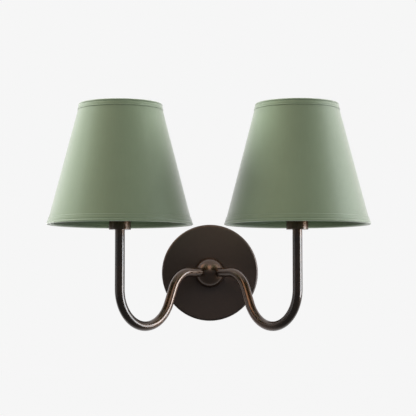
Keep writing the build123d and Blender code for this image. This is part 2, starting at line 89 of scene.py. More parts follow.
camera_data = bpy.data.cameras.new("camera")
camera_data.lens = LENS_MM
camera_data.sensor_width = SENSOR_MM
camera = bpy.data.objects.new("camera", camera_data)
camera.location = CAMERA_PLACE
camera.rotation_euler = (radians(90 + CAMERA_PITCH), 0, radians(CAMERA_TURN))
scene.collection.objects.link(camera)
scene.camera = camera
print("camera", LENS_MM, "mm lens,", -CAMERA_PLACE[1], "m from the wall")

# %% [markdown]
# ## Small tools for node trees
#
# A material is a tree of nodes. It can be wired by hand in the editor, but many materials made by
# hand soon differ by accident. These helpers keep the recipes short: they add a node and feed its
# sockets, or start a node group with named inputs and outputs. A group is a recipe that several
# materials share, each with its own values.


# %% Helpers that build node trees
def feed(tree, socket, value):
    """Gives a socket a plain value, or a link from another node's output."""
    if isinstance(value, bpy.types.NodeSocket):
        tree.links.new(value, socket)
    else:
        socket.default_value = value


def node(tree, kind, inputs, output=0, **settings):
    """Adds a node with its settings and inputs, and returns one of its outputs."""
    made = tree.nodes.new("ShaderNode" + kind)
    for name, value in settings.items():
        setattr(made, name, value)
    for name, value in inputs.items():
        feed(tree, made.inputs[name], value)
    return made.outputs[output]


def calc(tree, operation, *values):
    """A Math node. Its inputs are numbered, because they share one name."""
    return node(tree, "Math", dict(enumerate(values)), operation=operation)


def blend(tree, share, first, second):
    """Mixes two colours. The Mix node's colour inputs are the ones numbered 6 and 7."""
    return node(tree, "Mix", {0: share, 6: first, 7: second}, output=2, data_type="RGBA")


def spread(tree, value, low, high, to_low=0.0, to_high=1.0):
    """Stretches a value from one range onto another, with soft ends."""
    inputs = {0: value, 1: low, 2: high, 3: to_low, 4: to_high}
    return node(tree, "MapRange", inputs, interpolation_type="SMOOTHSTEP")


def noise_of(tree, place, scale, detail, roughness):
    """Cloudy noise from 0 to 1, with so many features to the metre."""
    inputs = {"Vector": place, "Scale": scale, "Detail": detail, "Roughness": roughness}
    return node(tree, "TexNoise", inputs)


def split_of(tree, vector):
    """The three parts of a vector."""
    split = tree.nodes.new("ShaderNodeSeparateXYZ")
    feed(tree, split.inputs[0], vector)
    return split.outputs


def own_place(tree):
    """Coordinates that stay on the piece when it moves."""
    return node(tree, "TexCoord", {}, output="Object")


# %% Helpers that start groups and materials
def start_group(name, inputs, outputs):
    """Starts a node group. inputs gives a starting number for each name, or None for a vector."""
    tree = bpy.data.node_groups.new(name, "ShaderNodeTree")
    for label, value in inputs.items():
        kind = "NodeSocketVector" if value is None else "NodeSocketFloat"
        socket = tree.interface.new_socket(label, in_out="INPUT", socket_type=kind)
        if value is not None:
            socket.default_value = value
    for label in outputs:
        tree.interface.new_socket(label, in_out="OUTPUT", socket_type="NodeSocketFloat")
    ends = tree.nodes.new("NodeGroupInput"), tree.nodes.new("NodeGroupOutput")
    return tree, ends[0].outputs, ends[1].inputs


def use_group(tree, group, inputs):
    """Places a group in a material and returns its outputs by name."""
    made = tree.nodes.new("ShaderNodeGroup")
    made.node_tree = group
    for name, value in inputs.items():
        feed(tree, made.inputs[name], value)
    return made.outputs


def start_material(name, **plain):
    """A new material, its tree and its shader, with the shader's plain values set."""
    material = bpy.data.materials.new(name)
    material.use_nodes = True
    tree = material.node_tree
    shader = tree.nodes["Principled BSDF"]
    for label, value in plain.items():
        shader.inputs[label.replace("_", " ")].default_value = value
    return material, tree, shader


def bump(tree, shader, height, distance, strength):
    """Lets a height pattern tilt the surface's normal. distance is the pattern's real depth."""
    inputs = {"Height": height, "Distance": distance, "Strength": strength}
    feed(tree, shader.inputs["Normal"], node(tree, "Bump", inputs))


# %% [markdown]
# ## Shared effects
#
# Real surfaces are never quite even: edges are rubbed, colours cloud and highlights break up. Such
# marks could be painted on images, but an image has to be unwrapped for every piece and blurs close
# up. Noise and normals give them at any size, on every piece alike. Edge wear comes first. It finds
# edges by comparing the true normal with one that is rounded over a small radius.

# %% Build the edge wear group
EDGE_FROM, EDGE_FULL = 0.05, 0.25
WEAR_FROM, WEAR_FULL = 0.35, 0.65
BEVEL_SAMPLES = 6


def make_edge_wear():
    """A mask of rubbed edges: a rounded normal that differs from the true one marks an edge."""
    inputs = {"Width": 0.6 * MM, "Amount": 0.5, "Scale": 300.0}
    tree, given, result = start_group("edge wear", inputs, ["Mask"])
    rounded = node(tree, "Bevel", {"Radius": given["Width"]}, samples=BEVEL_SAMPLES)
    facing = node(tree, "NewGeometry", {}, output="Normal")
    both = {0: rounded, 1: facing}
    likeness = node(tree, "VectorMath", both, output="Value", operation="DOT_PRODUCT")
    edge = spread(tree, calc(tree, "SUBTRACT", 1.0, likeness), EDGE_FROM, EDGE_FULL)
    patchy = noise_of(tree, own_place(tree), given["Scale"], 4.0, 0.6)
    worn = calc(tree, "MULTIPLY", edge, spread(tree, patchy, WEAR_FROM, WEAR_FULL))
    feed(tree, result["Mask"], calc(tree, "MULTIPLY", worn, given["Amount"]))
    return tree


edge_wear = make_edge_wear()
print(edge_wear.name, "has", len(edge_wear.nodes), "nodes")

# %% [markdown]
# ### Patina and grain
#
# Patina is the cloudiness of a surface that was dipped, waxed or handled. One noise looks like smoke,
# so a finer one is laid over it. Grain is the small unevenness left by casting, moulding or polishing.
# It is only a height pattern, because it is seen in the highlights and not in the colour.

# %% Build the patina group
COARSE_SHARE = 0.75
FINER = 7.0


def make_patina():
    """A cloudy mask: large clouds with clouds seven times finer over them."""
    tree, given, result = start_group("patina", {"Scale": 40.0, "Low": 0.35, "High": 0.65}, ["Mask"])
    place = own_place(tree)
    coarse = noise_of(tree, place, given["Scale"], 5.0, 0.62)
    fine = noise_of(tree, place, calc(tree, "MULTIPLY", given["Scale"], FINER), 3.0, 0.5)
    coarse = calc(tree, "MULTIPLY", coarse, COARSE_SHARE)
    fine = calc(tree, "MULTIPLY", fine, 1 - COARSE_SHARE)
    feed(tree, result["Mask"], spread(tree, calc(tree, "ADD", coarse, fine), given["Low"], given["High"]))
    return tree


patina = make_patina()
print(patina.name, "has", len(patina.nodes), "nodes")


# %% Build the grain group
def make_grain():
    """A height pattern with marks of about a millimetre and less."""
    tree, given, result = start_group("grain", {"Scale": 900.0}, ["Height"])
    feed(tree, result["Height"], noise_of(tree, own_place(tree), given["Scale"], 2.0, 0.6))
    return tree


grain = make_grain()
print(grain.name, "has", len(grain.nodes), "nodes")

# %% [markdown]
# ### Weave
#
# In a plain weave each thread goes over one neighbour and under the next. Every thread could be a
# mesh, but a shade has hundreds of them each way. Two sine waves give the same pattern: each wave is
# a row of ridges, and their product says which of the two lies on top. Some threads are spun thicker
# in places. Those slubs are noise that is stretched along the thread.

# %% Build the weave group
OVERLAP = 0.25
SLUBS_ACROSS, SLUBS_ALONG = 900.0, 35.0
SLUB_FROM, SLUB_FULL = 0.42, 0.72


def make_weave():
    """A plain weave. Place is a flat coordinate in metres, so the threads follow the cut cloth."""
    inputs = {"Place": None, "Threads": 2800.0}
    tree, given, result = start_group("weave", inputs, ["Height", "Slub", "Cross"])
    counted = {0: given["Place"], "Scale": given["Threads"]}
    split = split_of(tree, node(tree, "VectorMath", counted, operation="SCALE"))
    waves = [calc(tree, "SINE", calc(tree, "MULTIPLY", split[axis], pi)) for axis in (0, 1)]
    ridges = [calc(tree, "ABSOLUTE", wave) for wave in waves]
    warp_on_top = spread(tree, calc(tree, "MULTIPLY", *waves), -OVERLAP, OVERLAP)
    first = calc(tree, "MULTIPLY", ridges[0], warp_on_top)
    second = calc(tree, "MULTIPLY", ridges[1], calc(tree, "SUBTRACT", 1.0, warp_on_top))
    feed(tree, result["Height"], calc(tree, "ADD", first, second))
    feed(tree, result["Cross"], warp_on_top)
    stretch = {0: given["Place"], 1: (SLUBS_ACROSS, SLUBS_ALONG, 1.0)}
    long_way = node(tree, "VectorMath", stretch, operation="MULTIPLY")
    thick = noise_of(tree, long_way, 1.0, 2.0, 0.5)
    feed(tree, result["Slub"], spread(tree, thick, SLUB_FROM, SLUB_FULL))
    return tree


weave = make_weave()
print("shared groups:", ", ".join(group.name for group in bpy.data.node_groups))

# %% [markdown]
# ## Metals
#
# Oil rubbed bronze is a metal whose surface was darkened on purpose. It is nearly black, with brown
# clouds, and a browner tone shows where hands touch it most. The copper colour comes through where
# cloths rub the edges. Black paint would be simpler, but paint mirrors everything without colour. A
# dark metal tints what it mirrors, so the brown shows where it catches a warm light. A clear coat of
# wax over it gives the bright, colourless lines along the tubes. The plate has no such coat, so it
# looks satin.

# %% Oil rubbed bronze
BRONZE_RUBBED = (0.3, 0.15, 0.08, 1)
BRONZE_TINT = (0.3, 0.27, 0.25, 1)
COAT_ROUGHNESS = 0.18
COAT_IOR = 1.8
# How far from the middle the handled colour starts to fade and ends, and how far below a cup.
HELD_FULL, HELD_ENDS = 55 * MM, 95 * MM
HELD_BELOW_CUP = 12 * MM
BRONZE_GRAIN = 0.01 * MM


def handled(tree):
    """The places that hands touch most: the ball and the bends beside it, and the two cups."""
    across, _, height = split_of(tree, own_place(tree))
    middle = spread(tree, calc(tree, "ABSOLUTE", across), HELD_FULL, HELD_ENDS, 1.0, 0.0)
    cup_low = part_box("socket_cup_left")[0].z
    cups = spread(tree, height, cup_low - HELD_BELOW_CUP, cup_low)
    return calc(tree, "MAXIMUM", middle, cups)


def make_bronze(name, dark, brown, held_colour, smooth, rough, coat, worn_share):
    """smooth and rough are the roughness of the brown clouds and of the dark ones."""
    plain = {"Metallic": 1.0, "Coat_Weight": coat, "Coat_Roughness": COAT_ROUGHNESS, "Coat_IOR": COAT_IOR}
    material, tree, shader = start_material(name, Specular_Tint=BRONZE_TINT, **plain)
    clouds = use_group(tree, patina, {"Scale": 26.0, "Low": 0.3, "High": 0.7})["Mask"]
    worn = use_group(tree, edge_wear, {"Width": 0.6 * MM, "Amount": worn_share, "Scale": 260.0})["Mask"]
    colour = blend(tree, clouds, dark, brown)
    held = calc(tree, "MULTIPLY", handled(tree), spread(tree, clouds, 0.0, 1.0, 0.6, 1.0))
    colour = blend(tree, held, colour, held_colour)
    feed(tree, shader.inputs["Base Color"], blend(tree, worn, colour, BRONZE_RUBBED))
    feed(tree, shader.inputs["Roughness"], spread(tree, clouds, 0.0, 1.0, rough, smooth))
    bump(tree, shader, use_group(tree, grain, {"Scale": 900.0})["Height"], BRONZE_GRAIN, 0.25)
    return material


# %% [markdown]
# ### Plain metals
#
# Strap, screws, wires, hoops and lamp caps are zinc plated steel, brass, copper or nickel. Each could
# have its own recipe, but they differ only in their colours, in how smooth they are and in how large
# their tarnish clouds are. So one function makes them all from a few values.

# %% Plain and plated metals
TARNISH = 0.6
METAL_GRAIN = 0.02 * MM


def make_metal(name, clean, tarnished, smooth, rough, scale):
    """smooth and rough are the roughness of clean and of tarnished places."""
    material, tree, shader = start_material(name, Metallic=1.0)
    clouds = use_group(tree, patina, {"Scale": scale, "Low": 0.4, "High": 0.75})["Mask"]
    share = calc(tree, "MULTIPLY", clouds, TARNISH)
    feed(tree, shader.inputs["Base Color"], blend(tree, share, clean, tarnished))
    feed(tree, shader.inputs["Roughness"], spread(tree, clouds, 0.0, 1.0, smooth, rough))
    bump(tree, shader, use_group(tree, grain, {"Scale": 1500.0})["Height"], METAL_GRAIN, 0.5)
    return material


# %% [markdown]
# ## Fabric
#
# The shades are covered with a fine sage green cloth. Close up it is a plain weave with a few thicker
# threads. From a step away the threads merge, and what stays is a soft sheen that grows towards the
# sides. A separate sheen shader could give it, but the Principled shader's own sheen keeps the
# cloth's body colour under it. The weave lies in the flat coordinates of the cut cloth, which each
# fabric mesh carries. So it runs straight down the front and slants towards the lap, as cloth that
# was cut flat for a cone does.

# %% Woven cloth
CLOTH_DARK = (0.107, 0.147, 0.08, 1)
CLOTH_LIGHT = (0.16, 0.217, 0.125, 1)
SHEEN = 0.8
SHEEN_ROUGHNESS = 0.45
THREAD_TONE, SLUB_TONE, CLOUD_TONE = 0.55, 0.08, 0.2
THREAD_DEPTH = 0.04 * MM


def make_cloth(name, threads):
    """threads is how many threads lie side by side on a metre."""
    sheen = {"Sheen_Weight": SHEEN, "Sheen_Roughness": SHEEN_ROUGHNESS}
    material, tree, shader = start_material(name, Specular_IOR_Level=0.5, **sheen)
    flat = node(tree, "UVMap", {}, uv_map="cut")
    cloth = use_group(tree, weave, {"Place": flat, "Threads": threads})
    clouds = use_group(tree, patina, {"Scale": 16.0, "Low": 0.3, "High": 0.7})["Mask"]
    tone = calc(tree, "MULTIPLY", cloth["Height"], THREAD_TONE)
    tone = calc(tree, "ADD", tone, calc(tree, "MULTIPLY", cloth["Slub"], SLUB_TONE))
    tone = calc(tree, "ADD", tone, calc(tree, "MULTIPLY", clouds, CLOUD_TONE))
    feed(tree, shader.inputs["Base Color"], blend(tree, tone, CLOTH_DARK, CLOTH_LIGHT))
    feed(tree, shader.inputs["Roughness"], spread(tree, cloth["Cross"], 0.0, 1.0, 0.48, 0.54))
    bump(tree, shader, calc(tree, "ADD", cloth["Height"], cloth["Slub"]), THREAD_DEPTH, 0.5)
    return material


# %% [markdown]
# ## Plastics and wire
#
# The lamp holders are moulded phenolic, the connectors and the wires' insulation are softer plastics.
# A moulding has a slight unevenness from the mould, and its colour hardly changes. A plain colour
# would do from far away. The clouds and the paler edges are there for a look from near by.

# %% Moulded plastic and rubber
PLASTIC_GRAIN = 0.03 * MM
PLASTIC_DULLER = 0.1
CLOUD_SHARE = 0.3


def make_plastic(name, colour, faded, roughness, wear):
    """wear is how strongly the faded colour shows on the edges."""
    material, tree, shader = start_material(name)
    clouds = use_group(tree, patina, {"Scale": 60.0, "Low": 0.3, "High": 0.75})["Mask"]
    worn = use_group(tree, edge_wear, {"Width": 0.4 * MM, "Amount": wear, "Scale": 400.0})["Mask"]
    share = calc(tree, "MAXIMUM", worn, calc(tree, "MULTIPLY", clouds, CLOUD_SHARE))
    feed(tree, shader.inputs["Base Color"], blend(tree, share, colour, faded))
    duller = roughness + PLASTIC_DULLER
    feed(tree, shader.inputs["Roughness"], spread(tree, clouds, 0.0, 1.0, roughness, duller))
    bump(tree, shader, use_group(tree, grain, {"Scale": 700.0})["Height"], PLASTIC_GRAIN, 0.4)
    return material


# %% [markdown]
# ## Frosted glass
#
# The candle lamps are frosted on the inside: light comes through, but no shape does. Two walls of
# clear glass with a white coat between them would be the literal way, and slow to render. One rough
# glass looks the same from outside.

# %% Frosted glass
GLASS_WARM = (0.93, 0.92, 0.88, 1)
GLASS_PALE = (0.97, 0.96, 0.93, 1)
GLASS_GRAIN = 0.02 * MM


def make_frosted_glass():
    """Rough glass with a faint milky colour."""
    material, tree, shader = start_material("frosted glass", Transmission_Weight=0.85, IOR=1.45)
    clouds = use_group(tree, patina, {"Scale": 30.0, "Low": 0.3, "High": 0.7})["Mask"]
    feed(tree, shader.inputs["Base Color"], blend(tree, clouds, GLASS_WARM, GLASS_PALE))
    feed(tree, shader.inputs["Roughness"], spread(tree, clouds, 0.0, 1.0, 0.4, 0.5))
    bump(tree, shader, use_group(tree, grain, {"Scale": 1100.0})["Height"], GLASS_GRAIN, 0.4)
    return material


# %% [markdown]
# ## Dress the ready made pieces
#
# The record of the model names a finish for every piece. Here each of those names gets its material,
# and each piece takes the one that the record gives it. Only the back plate differs: it takes the
# satin bronze, because in the photograph it is duller than the tubes.

# %% The values of each finish
# A metal has its clean and tarnished colours, its roughness in both, and its clouds to the metre.
METALS = {
    "zinc_steel": ("zinc plated steel", (0.66, 0.66, 0.64, 1), (0.42, 0.42, 0.42, 1), 0.28, 0.5, 90.0),
    "green_screw": ("green passivated steel", (0.05, 0.3, 0.1, 1), (0.03, 0.17, 0.06, 1), 0.3, 0.45, 90.0),
    "copper": ("bare copper", (0.78, 0.4, 0.24, 1), (0.3, 0.14, 0.08, 1), 0.25, 0.5, 120.0),
    "brass": ("plain brass", (0.76, 0.58, 0.28, 1), (0.4, 0.28, 0.12, 1), 0.22, 0.45, 90.0),
    "hoop_steel": ("drawn steel wire", (0.62, 0.62, 0.6, 1), (0.35, 0.34, 0.33, 1), 0.25, 0.42, 90.0),
    "lamp_cap": ("nickel plated cap", (0.74, 0.72, 0.67, 1), (0.45, 0.43, 0.4, 1), 0.2, 0.38, 90.0),
}
# A plastic has its colour, its faded colour, its roughness and its wear.
PLASTICS = {
    "holder_black": ("moulded phenolic", (0.018, 0.017, 0.016, 1), (0.07, 0.065, 0.06, 1), 0.28, 0.25),
    "connector": ("moulded connector", (0.62, 0.2, 0.035, 1), (0.72, 0.36, 0.15, 1), 0.35, 0.25),
    "wire_black": ("black insulation", (0.02, 0.02, 0.02, 1), (0.06, 0.06, 0.06, 1), 0.42, 0.1),
    "wire_white": ("white insulation", (0.72, 0.72, 0.7, 1), (0.6, 0.59, 0.55, 1), 0.42, 0.1),
    "lining": ("shade lining", (0.085, 0.135, 0.062, 1), (0.12, 0.175, 0.09, 1), 0.6, 0.0),
}
COVER_THREADS = 2800.0
BINDING_THREADS = 2500.0

# %% Make the finishes and give them to the pieces
finishes = {
    "bronze": make_bronze(
        "oil rubbed bronze", dark=(0.04, 0.026, 0.018, 1), brown=(0.065, 0.038, 0.022, 1),
        held_colour=(0.125, 0.06, 0.028, 1), smooth=0.3, rough=0.38, coat=1.0, worn_share=0.4,
    ),
    **{slot: make_metal(*values) for slot, values in METALS.items()},
    **{slot: make_plastic(*values) for slot, values in PLASTICS.items()},
    "shade_fabric": make_cloth("sage cloth", COVER_THREADS),
    "trim_fabric": make_cloth("sage binding", BINDING_THREADS),
    "lamp_glass": make_frosted_glass(),
}
satin_bronze = make_bronze(
    "satin bronze", dark=(0.122, 0.1, 0.094, 1), brown=(0.155, 0.116, 0.102, 1),
    held_colour=(0.14, 0.112, 0.1, 1), smooth=0.4, rough=0.48, coat=0.0, worn_share=0.25,
)
for part in frame["record"]["subparts"]:
    slots = frame["nodes"][part["node"]].data.materials
    slots.clear()
    slots.append(satin_bronze if part["node"] == "back_plate" else finishes[part["material_slot"]])

# %% [markdown]
# ## Turned meshes
#
# Shades, bindings and threads are all round. Blender's Spin and Screw tools turn an outline too, but
# they repeat it without change. This function also turns a closed outline of (radius, height) points
# about an upright axis, and a relief function may push each point a little, for a seam, a pucker or a
# thread. The mesh keeps a flat coordinate for the weave as well.


# %% Turn an outline into a mesh
def turned(name, outline, centre, angles, relief=None, flat=None):
    """A closed ring of faces. angles run once round, and the last one joins the first."""
    points = []
    for angle in angles:
        for radius, height in outline:
            out, up = relief(angle, radius, height) if relief else (0, 0)
            reach = radius + out
            points.append((centre.x + reach * cos(angle), centre.y + reach * sin(angle), height + up))
    rows, turns = len(outline), len(angles)
    faces, corners = [], []
    for i in range(turns):
        for k in range(rows):
            ring = ((i, k), (i + 1, k), (i + 1, k + 1), (i, k + 1))
            faces.append([(a % turns) * rows + b % rows for a, b in ring])
            corners.extend(ring)
    mesh = bpy.data.meshes.new(name)
    mesh.from_pydata(points, [], faces)
    if flat:
        closed = list(angles) + [angles[0] + 2 * pi]
        layer = mesh.uv_layers.new(name="cut")
        for spot, (a, b) in zip(layer.data, corners):
            spot.uv = flat(closed[a], b)
    mesh.shade_smooth()
    face_outwards(mesh)
    piece = bpy.data.objects.new(name, mesh)
    scene.collection.objects.link(piece)
    return piece


def face_outwards(mesh):
    """Turns every face so that its front is on the outside."""
    edited = bmesh.new()
    edited.from_mesh(mesh)
    bmesh.ops.recalc_face_normals(edited, faces=edited.faces)
    edited.to_mesh(mesh)
    edited.free()


def even_angles(count, start=0.0):
    """So many angles, evenly round a circle."""
    return [start + 2 * pi * step / count for step in range(count)]


def place_piece(piece, body, slot, *stands_for):
    """Gives a piece its finish and its body, and hides the plain solid that it stands for."""
    piece.data.materials.append(finishes[slot])
    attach(piece, body)
    if stands_for:
        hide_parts(*stands_for)


# %% [markdown]
# ## Measure the shade
#
# The cloth is laid on the shade's real cone. Its sizes could be typed in again, but then a change of
# the model would leave the cloth behind. So they are read from the ready made cover: the radius at
# each edge, the height of each edge and the slope between them.

# %% Read the cone from the cover
AT_THE_TOP = 0.1 * MM


def read_cone(side):
    """lean and rise say how far the cloth runs inwards and upwards for each metre along it."""
    low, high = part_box(f"shade_cover_{side}")
    centre = Vector(((low.x + high.x) / 2, (low.y + high.y) / 2, 0))
    bottom_r = (high.x - low.x) / 2
    top_r = 0.0
    for vertex in frame["nodes"][f"shade_cover_{side}"].data.vertices:
        if high.z - vertex.co.z < AT_THE_TOP:
            top_r = max(top_r, hypot(vertex.co.x - centre.x, vertex.co.y - centre.y))
    slant = hypot(bottom_r - top_r, high.z - low.z)
    lean, rise = (bottom_r - top_r) / slant, (high.z - low.z) / slant
    return {
        "centre": centre, "bottom_r": bottom_r, "top_r": top_r, "bottom": low.z, "top": high.z,
        "slant": slant, "lean": lean, "rise": rise,
    }


cones = {side: read_cone(side) for side in SIDES}
for side, cone in cones.items():
    print(side, "shade:", *(f"{key} {cone[key] / MM:.1f}" for key in ("bottom_r", "top_r", "slant")))

# %% [markdown]
# ## Shade covers
#
# Each cover is one flat piece of cloth, a sector of a ring, glued round the cone with its ends lapped
# at the back. Loose cloth would be draped with a cloth simulation, but this one is stretched on a
# stiff lining and has no folds to find. So it is turned, with two small reliefs. The lap is a step of
# about one cloth's thickness that fades away on its far side. A very slight waviness shows as soft
# changes along the sheen.

# %% Sizes of the cover
COVER_T = 0.6 * MM
LAP_WIDTH = 9 * MM
LAP_STEP = 0.35 * MM
WAVINESS = 0.07 * MM
WAVE_SIZE = 26 * MM
CALM_EDGE = 10 * MM
SEAM_ANGLE = radians(90)
SEAM_SIDE = 0.0015
NEAR_SEAM = (SEAM_SIDE, 0.012, 0.03)
COVER_TURNS = 144
COVER_ROWS = 36
COVER_SEED = 3


# %% Helpers for cloth
def lap(angle, radius):
    """How far the lapped end stands off the cloth under it."""
    past = ((angle - SEAM_ANGLE) % (2 * pi)) * radius
    if past > 2 * LAP_WIDTH:
        return 0.0
    return LAP_STEP * min(1.0, (2 * LAP_WIDTH - past) / LAP_WIDTH)


def waver(angle, radius, height, size, seed):
    """Smooth noise on a round surface, from -1 to 1."""
    place = Vector((radius * cos(angle), radius * sin(angle), height)) / size
    return noise.noise(place + Vector((seed, seed, seed)))


# %% Make the covers
def make_cover(side, seed):
    """The cloth round one shade, cut as a flat sector and lapped at the back."""
    cone = cones[side]
    lean, rise = cone["lean"], cone["rise"]
    outer, inner = [], []
    for row in range(COVER_ROWS + 1):
        share = row / COVER_ROWS
        radius = cone["bottom_r"] + share * (cone["top_r"] - cone["bottom_r"])
        height = cone["bottom"] + share * (cone["top"] - cone["bottom"])
        outer.append((radius, height))
        inner.append((radius - COVER_T / rise, height))
    outline = outer + inner[::-1]
    apex = cone["bottom_r"] / lean

    def relief(angle, radius, height):
        on_cone = cone["bottom_r"] - lean / rise * (height - cone["bottom"])
        if radius < on_cone - COVER_T / 2:
            return 0, 0
        edges = min(height - cone["bottom"], cone["top"] - height) / CALM_EDGE
        wave = WAVINESS * waver(angle, radius, height, WAVE_SIZE, seed) * max(0.0, min(1.0, edges))
        return lap(angle, radius) + wave, 0

    def flat(angle, index):
        _, height = outline[index % len(outline)]
        reach = apex - (height - cone["bottom"]) / rise
        turn = (angle - SEAM_ANGLE - pi) * lean
        return reach * sin(turn), reach * cos(turn)

    angles = even_angles(COVER_TURNS, SEAM_ANGLE)
    near_seam = [SEAM_ANGLE + step for step in NEAR_SEAM]
    angles = sorted(angles + near_seam + [SEAM_ANGLE + 2 * pi - SEAM_SIDE])
    cover = turned(f"cloth_cover_{side}", outline, cone["centre"], angles, relief, flat)
    place_piece(cover, f"shade_{side}", "shade_fabric", f"shade_cover_{side}")


for seed, side in enumerate(SIDES, COVER_SEED):
    make_cover(side, seed)

# %% [markdown]
# ## Bindings
#
# The raw edges are bound with a folded tape of the same cloth. Its outer side has a pressed hem, seen
# as a fine groove near the edge of the band. A crease divides the band from a fuller roll that runs
# over the shade's edge. The tape then goes round the wire hoop inside and is glued to the lining. A
# plain ring would pass from far away, but it shows no hem and no fold from below. So the folded
# section is drawn point by point and turned. Its two directions suit a sloping wall: u along the
# cloth, away from the edge, and v out of the cloth's face.

# %% Sizes of the bindings
TAPE_T = 0.45 * MM
HEM_T = 0.7 * MM
HEM_CORNER = 0.3 * MM
HEM_GROOVE = 0.25 * MM
HEM_FROM_EDGE = 1.6 * MM
GROOVE_HALF = 0.35 * MM
CREASE = 0.4 * MM
CREASE_HALF = 0.3 * MM
CREASE_ROUND = 0.1 * MM
CREASE_SLOPE = 0.9 * MM
BULGE = 0.45 * MM
GLUE_GAP = 0.02 * MM
UNDER_EDGE = 0.5 * MM
INNER_EDGE = 0.35 * MM
INNER_CORNER = 0.3 * MM
BANDS = {"top": 6.6 * MM, "bottom": 8.4 * MM}
BEADS = {"top": 1.0 * MM, "bottom": 2.5 * MM}
ROLLS = {"top": 1.9 * MM, "bottom": 0.8 * MM}
INSIDE_BAND = 6.0 * MM
INSIDE_FOLD = 0.6 * MM
HOOP_ARC = (195, 330)
HOOP_STEPS = 8
BINDING_TURNS = 132
TAPE_SEAM_SIDE = 0.002
TAPE_LAP_ANGLE = 0.02
BINDING_SEED = 11
PUCKER = 0.06 * MM
PUCKER_INSIDE = 1.5
PUCKER_UPWARDS = 0.5
INSIDE_FROM = 0.2 * MM
PUCKER_SIZE_INSIDE = 4.5 * MM
PUCKER_SIZE_OUTSIDE = 11 * MM
LAP_SHOWS = 0.7


# %% Draw the section of a binding
def arc(centre, radius, start, end, steps):
    """Points on an arc, with angles in degrees from the u direction towards v."""
    found = []
    for step in range(steps + 1):
        angle = radians(start + (end - start) * step / steps)
        found.append((centre[0] + radius * cos(angle), centre[1] + radius * sin(angle)))
    return found


def binding_outline(band, bead, roll, hoop_uv, hoop_r, wall):
    """The tape's section in (u, v), first its outer face from the band's edge, then its inner face.

    The shares place a curve's points between named sizes: along the band, the bead or the roll, and
    up the hem, the bulge or the tape's thickness.
    """
    groove = band - HEM_FROM_EDGE
    first, last = HOOP_ARC
    hem = [
        (band, GLUE_GAP), (band, 0.6 * HEM_T), (band - HEM_CORNER, HEM_T),
        (groove + GROOVE_HALF, HEM_T), (groove, HEM_T - HEM_GROOVE), (groove - GROOVE_HALF, HEM_T),
        (0.6 * band, HEM_T),
    ]
    crease = [
        (bead + CREASE_SLOPE, HEM_T), (bead + CREASE_HALF, HEM_T - CREASE_ROUND),
        (bead, HEM_T - CREASE), (bead - CREASE_HALF, HEM_T),
    ]
    rolled = [
        (0.55 * bead, HEM_T + 0.85 * BULGE), (0.2 * bead, HEM_T + BULGE),
        (-0.3 * roll, HEM_T + 0.7 * BULGE), (-0.8 * roll, 0.5 * HEM_T), (-roll, -UNDER_EDGE),
    ]
    round_hoop = arc(hoop_uv, hoop_r + TAPE_T, first, last, HOOP_STEPS)
    on_lining = [(INSIDE_BAND - INSIDE_FOLD, -wall - 1.3 * TAPE_T), (INSIDE_BAND, -wall - 0.8 * TAPE_T)]
    outer = hem + crease + rolled + round_hoop + on_lining
    inner = [(INSIDE_BAND, -wall - GLUE_GAP), (hoop_uv[0] + hoop_r + TAPE_T, -wall - GLUE_GAP)]
    inner += arc(hoop_uv, hoop_r + GLUE_GAP, last, first, HOOP_STEPS)
    inner += [(-INNER_EDGE, -UNDER_EDGE), (-INNER_CORNER, GLUE_GAP), (0.6 * band, GLUE_GAP)]
    return outer, inner


def length_of(points):
    """The length of a line through points."""
    steps = zip(points, points[1:])
    return sum(hypot(b[0] - a[0], b[1] - a[1]) for a, b in steps)


# %% Make the bindings
def make_binding(side, edge, seed):
    """edge is top or bottom. The band goes down from the top edge and up from the bottom one."""
    cone = cones[side]
    lean, rise = cone["lean"], cone["rise"]
    way = 1 if edge == "bottom" else -1
    start_r, start_z = cone[f"{edge}_r"], cone[edge]
    low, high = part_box(f"{edge}_wire_{side}")
    hoop_r = (high.z - low.z) / 2
    hoop_out, hoop_up = (high.x - low.x) / 2 - hoop_r - start_r, low.z + hoop_r - start_z
    hoop_uv = (way * (hoop_up * rise - hoop_out * lean), hoop_out * rise + hoop_up * lean)
    wall = -hoop_uv[1] - hoop_r
    outer, inner = binding_outline(BANDS[edge], BEADS[edge], ROLLS[edge], hoop_uv, hoop_r, wall)
    outline = []
    for u, v in outer + inner:
        outline.append((start_r - way * u * lean + v * rise, start_z + way * u * rise + v * lean))
    tape_width = length_of(outer)
    along = [length_of((outer + inner)[: index + 1]) for index in range(len(outline))]

    def relief(angle, radius, height):
        on_cone = start_r - lean / rise * (height - start_z)
        if radius < on_cone - INSIDE_FROM:
            push = PUCKER * waver(angle, radius, height, PUCKER_SIZE_INSIDE, seed)
            return -PUCKER_INSIDE * push, PUCKER_UPWARDS * push
        push = PUCKER * waver(angle, radius, height, PUCKER_SIZE_OUTSIDE, seed)
        return push + LAP_SHOWS * lap(angle, radius), PUCKER_UPWARDS * push

    def flat(angle, index):
        return angle * start_r, along[index % len(along)]

    angles = even_angles(BINDING_TURNS, SEAM_ANGLE)
    near_seam = [SEAM_ANGLE + TAPE_SEAM_SIDE, SEAM_ANGLE + TAPE_LAP_ANGLE]
    angles = sorted(angles + near_seam + [SEAM_ANGLE + 2 * pi - TAPE_SEAM_SIDE])
    binding = turned(f"{edge}_binding_{side}", outline, cone["centre"], angles, relief, flat)
    place_piece(binding, f"shade_{side}", "trim_fabric", f"{edge}_trim_{side}")
    smooth = binding.modifiers.new("smooth", "SUBSURF")
    smooth.levels = smooth.render_levels = 1


for seed, side in enumerate(SIDES, BINDING_SEED):
    for edge in BANDS:
        make_binding(side, edge, seed)

# %% [markdown]
# ## Threads
#
# The lamp's cap is a thin shell with a rolled thread, closed by a disc of dark glass. The holder has a
# moulded thread for the ring nut, and shows it between the nut and its rim. A bump pattern could fake
# both, but the outline would stay straight. A real thread is a wave that climbs as it goes round: the
# radius depends on the height less one pitch a turn. Its ends fade out, as a rolled thread's do.

